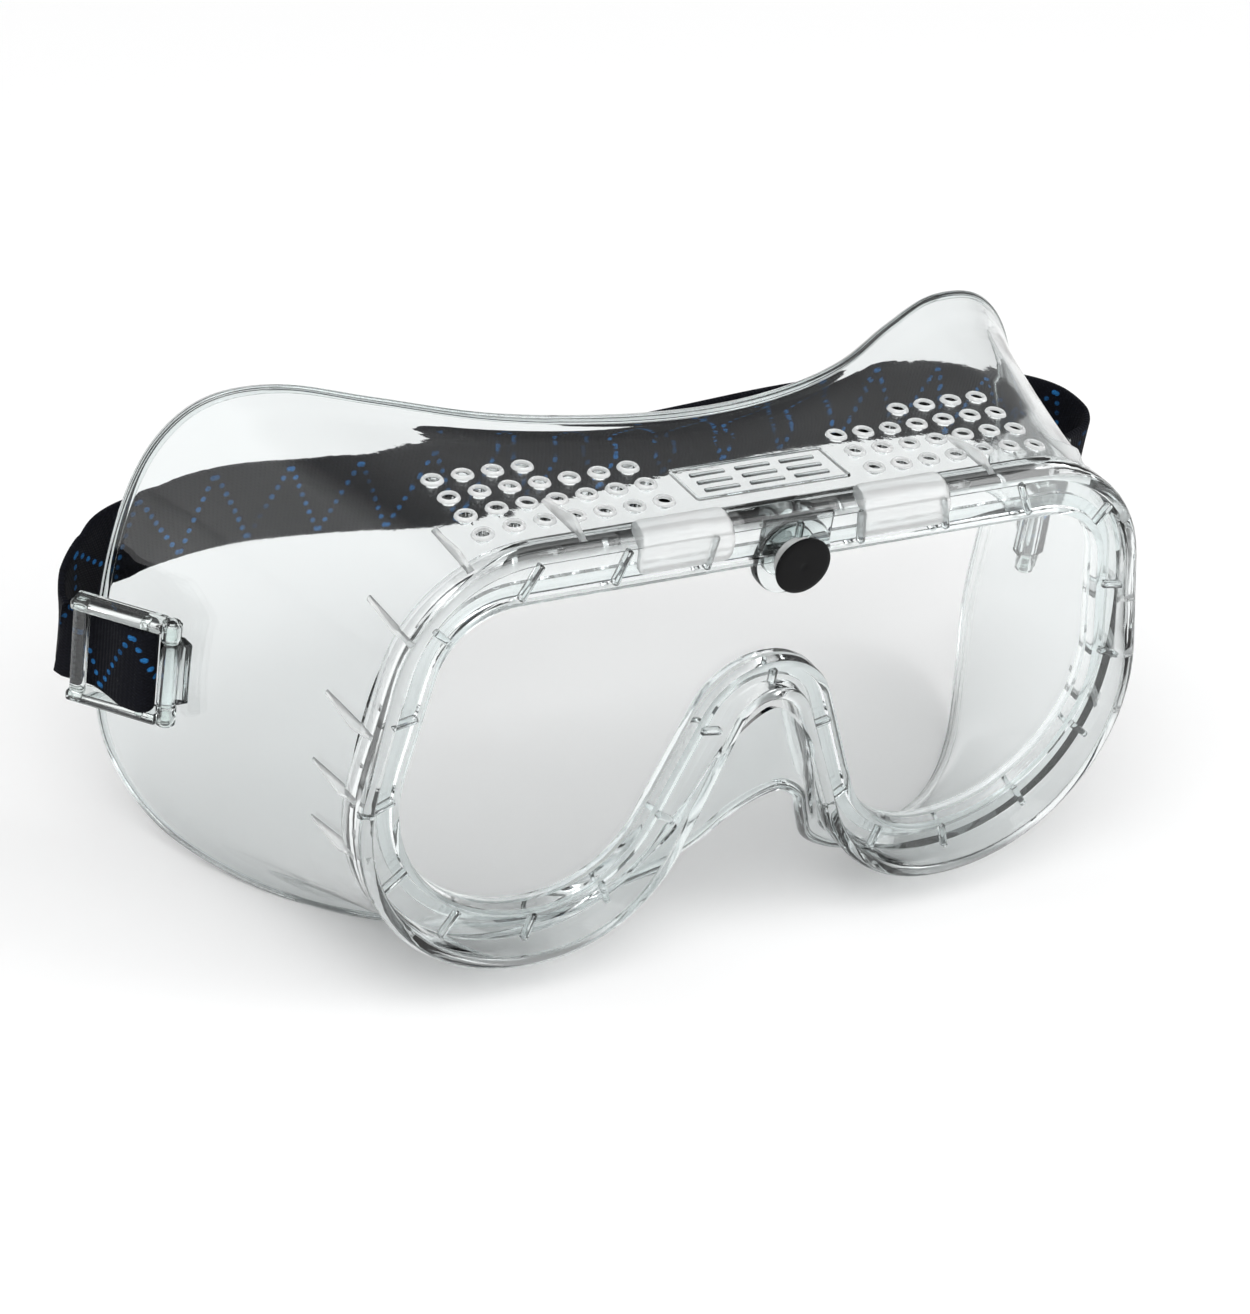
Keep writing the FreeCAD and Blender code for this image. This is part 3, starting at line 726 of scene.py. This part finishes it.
def fittings():
    """Hinge lugs and stud tab, vent collars, and the plain raised border."""
    shape = Shape()
    shape.lathe([(-6, 0.82), (-6, 1.5), (-5.7, 1.7), (5.7, 1.7), (6, 1.5), (6, 0.82)],
                PIN, Z, 40)
    shape.block(PIN - X * 2.2, X, Y, (2.7, 3.0, 11.6), 0.5)
    shape.mirrored()
    shape.lathe([(-0.03, 0.0), (-0.03, 7.0), (-1.3, 7.0), (-1.7, 6.7), (-1.8, 6.3),
                 (-1.8, 0.0)], (0, 0, STUD_Z), Y, 64)
    shape.block((0, -0.92, STUD_Z + 4.6), X, Z, (13.2, 5.6, 1.7), 0.5)
    shape.obj("moulded_fittings", VINYL, "frame", "clear_vinyl")

    collars = Shape()
    for point, normal in vent_places():
        collars.lathe([(0.05, 1.16), (0.5, 1.2), (0.62, 1.35), (0.55, 1.6), (0.3, 1.8),
                       (0.05, 1.9)], point, normal, 20)
    # The collars' white vinyl is a painted highlight on their round caps
    collars.obj("vent_collars", HIGHLIGHT_WHITE, "frame", "clear_vinyl")

    border = Shape()
    rows = []
    for inset, rise in ((0.0, 0.05), (0.1, 0.4), (0.3, 0.5), (0.55, 0.4), (0.65, 0.05)):
        row = []
        for sx, sy, begin in ((1, 1, 0), (-1, 1, 90), (-1, -1, 180), (1, -1, 270)):
            for t in np.radians(begin + np.linspace(0, 90, 5)):
                x = sx * BORDER_HALF_X + (BORDER_CORNER - inset) * math.cos(t)
                y = sy * BORDER_HALF_Y + (BORDER_CORNER - inset) * math.sin(t)
                row.append(wall_at(x, BORDER_CENTRE_Y + y)[0] + Z * rise)
        rows.append(row)
    border.skin(rows)
    for y in (9.0, 11.5, 14.0):
        for k in range(3):
            point, normal = wall_at(-8.4 + 8.4 * k, y)
            border.block(point + normal * 0.12, X, Y, (6.4, 0.9, 0.4), 0.15, 2)
    border.obj("blank_border", VINYL, "frame", "clear_vinyl")


# --------------------------------------------------------------------- stud

def stud():
    """Black flat head on a clear shank, in a clear collar, with a clear washer."""
    centre = (0, 0, STUD_Z)
    head = Shape()
    head.lathe([(-4.98, 0.0), (-4.96, 0.35), (-5.03, 0.6), (-5.05, 1.0), (-5.05, 4.1),
                (-5.0, 4.7), (-4.86, 4.95), (-4.6, 5.0), (-4.34, 4.93), (-4.2, 4.7),
                (-4.15, 4.2), (-4.15, 0.0)], centre, Y, 72)
    piece = head.obj("stud_head", BLACK, "lens_stud", "black_plastic")
    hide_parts("lens_stud")
    shank = Shape()
    shank.lathe([(-4.13, 0.0), (-4.13, 2.9), (-3.7, 2.75), (-3.35, 2.6), (-3.27, 2.0),
                 (5.1, 2.0), (5.2, 2.6), (5.5, 2.55), (6.6, 1.3), (6.6, 0.0)], centre, Y, 56)
    # Shank and collar take the vinyl whose white share is a painted highlight
    shank.obj("stud_shank", HIGHLIGHT_WHITE, "lens_stud", "clear_clip")
    bush = Shape()
    bush.lathe([(-3.2, 2.05), (-3.2, 3.3), (-3.05, 3.7), (-2.75, 3.9), (-2.1, 3.9),
                (-1.9, 3.75), (-1.82, 3.4), (-1.82, 2.9), (2.6, 2.9), (2.6, 2.05)],
               centre, Y, 56)
    piece = bush.obj("stud_collar", HIGHLIGHT_WHITE, "frame", "clear_clip")
    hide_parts("stud_bush")
    washer = Shape()
    washer.lathe([(1.42, 2.92), (1.42, 4.5), (1.6, 4.6), (2.3, 4.6), (2.55, 4.4),
                  (2.6, 4.1), (2.6, 2.92)], centre, Y, 56)
    piece = washer.obj("stud_washer_ring", CLIP, "frame", "clear_clip")
    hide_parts("stud_washer")


# ----------------------------------------------------------- clips and strap

ALONG = np.array([math.sin(CLIP_ANGLE), math.cos(CLIP_ANGLE), 0])
OUT = np.array([math.cos(CLIP_ANGLE), -math.sin(CLIP_ANGLE), 0])


def at_clip(along, out, z=0.0):
    """Point on the right clip, from its pin: along it, outwards and up."""
    return PIN + ALONG * along + OUT * out + Z * z


def clip(side):
    """Clip frame: two rails with knuckles, a round front bar and a thick rear bar."""
    name = "right" if side > 0 else "left"
    half = CLIP_HEIGHT / 2
    shape = Shape()
    for end in (-1, 1):
        shape.lathe([(6.28, 0.88), (6.28, 1.55), (6.5, 1.7), (half - 0.25, 1.7),
                     (half, 1.45), (half, 0.88)], PIN, Z * end, 40)
        middle = at_clip((1.2 + CLIP_LENGTH + 1.6) / 2, 0, end * (half - 1.0))
        shape.block(middle, ALONG, OUT, (CLIP_LENGTH + 0.6, 3.8, 2.0), 0.55, 4)
    for along, out, wide, deep in ((FRONT_BAR_ALONG, FRONT_BAR_OUT, 1.6, 1.6),
                                   (CLIP_LENGTH, 0.6, 2.5, 2.3)):
        size = (wide, deep, CLIP_HEIGHT - 0.9)
        shape.block(at_clip(along, out), ALONG, OUT, size, 0.75, 5)
    shape.flipped(side)
    piece = shape.obj("clip_frame_" + name, CLIP, "clip_" + name, "clear_clip")
    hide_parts("strap_clip_" + name)
    pin = Shape()
    pin.lathe([(-half, 0.0), (-half, 0.6), (-half + 0.2, PIN_RADIUS),
               (half - 0.2, PIN_RADIUS), (half, 0.6), (half, 0.0)], PIN * (side, 1, 1), Z,
              32)
    piece = pin.obj("clip_pin_" + name, CLIP, "frame", "clear_clip")
    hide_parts("hinge_pin_" + name)


def ribbon(path, start=0.0):
    """Strap on edge along a path of middle points, its edges softly rounded. The flat
    map counts the length from start, so that the knit runs on from piece to piece."""
    path = np.asarray(path, float)
    along = np.gradient(path, axis=0)
    along /= np.linalg.norm(along, axis=1)[:, None]
    across = np.stack([-along[:, 1], along[:, 0], 0 * along[:, 0]], 1)
    across /= np.linalg.norm(across, axis=1)[:, None]
    up = np.cross(across, along) * -1
    up *= np.sign(up[:, 2])[:, None]
    steps = np.linalg.norm(np.diff(path, axis=0), axis=1)
    travelled = start + np.concatenate([[0], np.cumsum(steps)])
    half, thick = STRAP_WIDTH / 2, STRAP_THICKNESS / 2
    levels = np.linspace(-half + 2, half - 2, 7)
    face = [(-half + 0.5, -thick)] + [(v, -thick) for v in levels] + [(half - 0.5, -thick)]
    edge = [(half - 0.1, -thick * 0.6), (half, 0), (half - 0.1, thick * 0.6)]
    section = face + edge
    section += [(-v, -t) for v, t in section]
    rows = [[point + up[k] * v + across[k] * t for v, t in section]
            for k, point in enumerate(path)]
    lengths = [[(u, v) for v, t in section] for u in travelled]
    return Shape().skin(rows, tube=False, lengths=lengths)


# Plan and middle height of the headband, left clip to right clip
STRAP_RUN = [(-98.3, 58.9, -15.4), (-97.2, 62.0, -14.2), (-94.6, 65.4, -11.8),
             (-90.2, 68.3, -9.0), (-84.0, 70.3, -6.2), (-66.0, 71.6, -3.8),
             (-44.0, 71.6, -4.6), (-22.0, 71.0, -5.6), (0, 70.5, -5.2),
             (22.0, 71.0, -4.2), (44.0, 73.0, -4.2), (66.0, 75.0, -5.6),
             (85.0, 76.0, -8.0), (98.5, 75.0, -10.4), (106.5, 71.6, -12.2),
             (109.2, 66.0, -13.6), (107.4, 61.4, -14.6), (103.0, 59.4, -15.2),
             (99.2, 58.2, -15.4)]


def strap_fold(side):
    """End of the headband, folded round the clip's front bar and sewn."""
    name = "right" if side > 0 else "left"
    reach = 0.8 + STRAP_THICKNESS / 2 + 0.15
    flip = np.array([side, 1, 1])
    centre = at_clip(FRONT_BAR_ALONG, FRONT_BAR_OUT)
    fold = [centre + OUT * reach * math.cos(t) - ALONG * reach * math.sin(t)
            for t in np.radians(np.linspace(-8, 188, 8))]
    inner = LOOP_OUT - 1.5
    upper = [at_clip(18.2, LOOP_OUT), at_clip(16.0, LOOP_OUT),
             at_clip(13.4, LOOP_OUT + 0.1), at_clip(10.2, -0.1), at_clip(7.2, 1.6)]
    lower = [at_clip(8.0, -2.2), at_clip(11.5, inner + 0.1), at_clip(15.0, inner),
             at_clip(18.2, inner)]
    loop = smooth_curve(upper + fold + lower, 6, False)
    strap = ribbon(loop * flip)
    piece = strap.obj("strap_fold_" + name, ELASTIC, "clip_" + name, "elastic")
    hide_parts("strap_loop_" + name)
    tack = Shape()
    for k in range(TACK_THREADS):
        z = -6.0 + 12.0 * k / (TACK_THREADS - 1)
        place = at_clip(17.0, LOOP_OUT + 0.75, z)
        tack.block(place, ALONG, OUT, (1.5, 0.3, 0.75), 0.14, 2)
    tack.flipped(side)
    piece = tack.obj("sewn_bar_" + name, THREAD, "clip_" + name, "thread")
    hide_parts("bar_tack_" + name)


def headband():
    """Long run of elastic in two halves that meet behind."""
    middle = smooth_curve(STRAP_RUN, 10, False)
    centre = int(np.argmin(abs(middle[:, 0])))
    leave = at_clip(18.25, LOOP_OUT)
    lead = [leave, at_clip(18.9, LOOP_OUT + 0.05)]
    left = np.concatenate([np.array(lead) * (-1, 1, 1), middle[1:centre + 1]])
    right = np.concatenate([middle[centre:-1], np.array(lead)[::-1]])
    length = np.linalg.norm(np.diff(left, axis=0), axis=1).sum()
    for name, path, start, side in (("left", left, 0.0, -1), ("right", right, length, 1)):
        piece = ribbon(path, start).obj("headband_" + name, ELASTIC, None, "elastic")
        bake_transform(piece)
        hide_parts("headband")


cup()
rim()
brow_pads()
fins()
fittings()
stud()
for side in (1, -1):
    clip(side)
    strap_fold(side)
headband()
lens = frame["nodes"]["lens"]
lens.data.materials.clear()
lens.data.materials.append(LENS)


# ------------------------------------------------------- light, floor, camera

# Metres, and watts
FLOOR_HALF = 6.0
LIGHTS = [("key", (-0.5, -0.5, 1.1), (0.8, 0.8), 6.0),
          ("fill", (0.9, -0.6, 0.7), (0.6, 0.9), 4.0)]
FLAG_TOWARD = (0.46, 0.71, 0.53)
FLAG_LEVEL = 0.28
FLAG_EDGE = (0.62, 0.86)   # cosines where the flag starts and where it is darkest
BOUNCES = 32

# Angles in degrees; the camera's place in millimetres, along its own axes
CAMERA_AZIMUTH = -33.23
CAMERA_ELEVATION = 32.25
CAMERA_ROLL = 8.89
CAMERA_RIGHT = -24.51
CAMERA_BACK = 583.22
CAMERA_FOCUS_Y = -2.0
SENSOR_WIDTH = 36.0
FOCAL_LENGTH = 103.68


def floor():
    """Pale floor under the lowest point of the object."""
    square = bmesh.new()
    bmesh.ops.create_grid(square, x_segments=1, y_segments=1, size=FLOOR_HALF)
    bmesh.ops.translate(square, verts=square.verts, vec=(0, 0, CAD_BOX[0][2]))
    mesh = bpy.data.meshes.new("floor")
    square.to_mesh(mesh)
    square.free()
    obj = bpy.data.objects.new("floor", mesh)
    bpy.context.collection.objects.link(obj)
    material, _, shader = new_material("pale_floor")
    shader.inputs["Base Color"].default_value = (0.93, 0.93, 0.93, 1)
    shader.inputs["Roughness"].default_value = 0.9
    mesh.materials.append(material)


def area_light(name, place, size, power):
    """Soft rectangular light aimed at the origin."""
    data = bpy.data.lights.new(name, "AREA")
    data.shape = "RECTANGLE"
    data.size, data.size_y = size
    data.energy = power
    obj = bpy.data.objects.new(name, data)
    obj.location = place
    obj.rotation_euler = (-Vector(place)).to_track_quat("-Z", "Y").to_euler()
    bpy.context.collection.objects.link(obj)


def world():
    """White studio with one dark flag high behind the object."""
    scene = bpy.context.scene
    scene.world = bpy.data.worlds.new("studio")
    scene.world.use_nodes = True
    nodes = Nodes(scene.world.node_tree)
    background = scene.world.node_tree.nodes["Background"]
    direction = nodes.add("ShaderNodeTexCoord").outputs["Generated"]
    toward = nodes.add("ShaderNodeVectorMath", operation="DOT_PRODUCT")
    nodes.link(direction, toward, 0)
    toward.inputs[1].default_value = FLAG_TOWARD
    level = ranged(nodes, toward.outputs["Value"], 1.0, FLAG_LEVEL, *FLAG_EDGE)
    colour = nodes.add("ShaderNodeCombineColor")
    for socket in range(3):
        nodes.link(level, colour, socket)
    nodes.link(colour.outputs[0], background, "Color")
    background.inputs["Strength"].default_value = 1.0


def camera():
    """Camera from above the left front, rolled a little."""
    az, el, roll = (math.radians(angle) for angle in (CAMERA_AZIMUTH, CAMERA_ELEVATION,
                                                      CAMERA_ROLL))
    back = np.array([math.sin(az) * math.cos(el), -math.cos(az) * math.cos(el),
                     math.sin(el)])
    right = np.array([math.cos(az), math.sin(az), 0])
    up = np.cross(back, right)
    right, up = (right * math.cos(roll) + up * math.sin(roll),
                 up * math.cos(roll) - right * math.sin(roll))
    place = right * CAMERA_RIGHT + back * CAMERA_BACK + Y * CAMERA_FOCUS_Y
    data = bpy.data.cameras.new("camera")
    data.sensor_fit = "HORIZONTAL"
    data.sensor_width = SENSOR_WIDTH
    data.lens = FOCAL_LENGTH
    data.clip_start = 0.01
    data.clip_end = 50.0
    obj = bpy.data.objects.new("camera", data)
    matrix = Matrix.Identity(4)
    for column, axis in enumerate((right, up, back)):
        for line in range(3):
            matrix[line][column] = axis[line]
    matrix.translation = Vector(place * MM)
    obj.matrix_world = matrix
    bpy.context.collection.objects.link(obj)
    bpy.context.scene.camera = obj


floor()
world()
for light in LIGHTS:
    area_light(*light)
camera()
scene = bpy.context.scene
scene.view_settings.view_transform = "Standard"
scene.cycles.max_bounces = BOUNCES
scene.cycles.transmission_bounces = BOUNCES
scene.cycles.transparent_max_bounces = BOUNCES
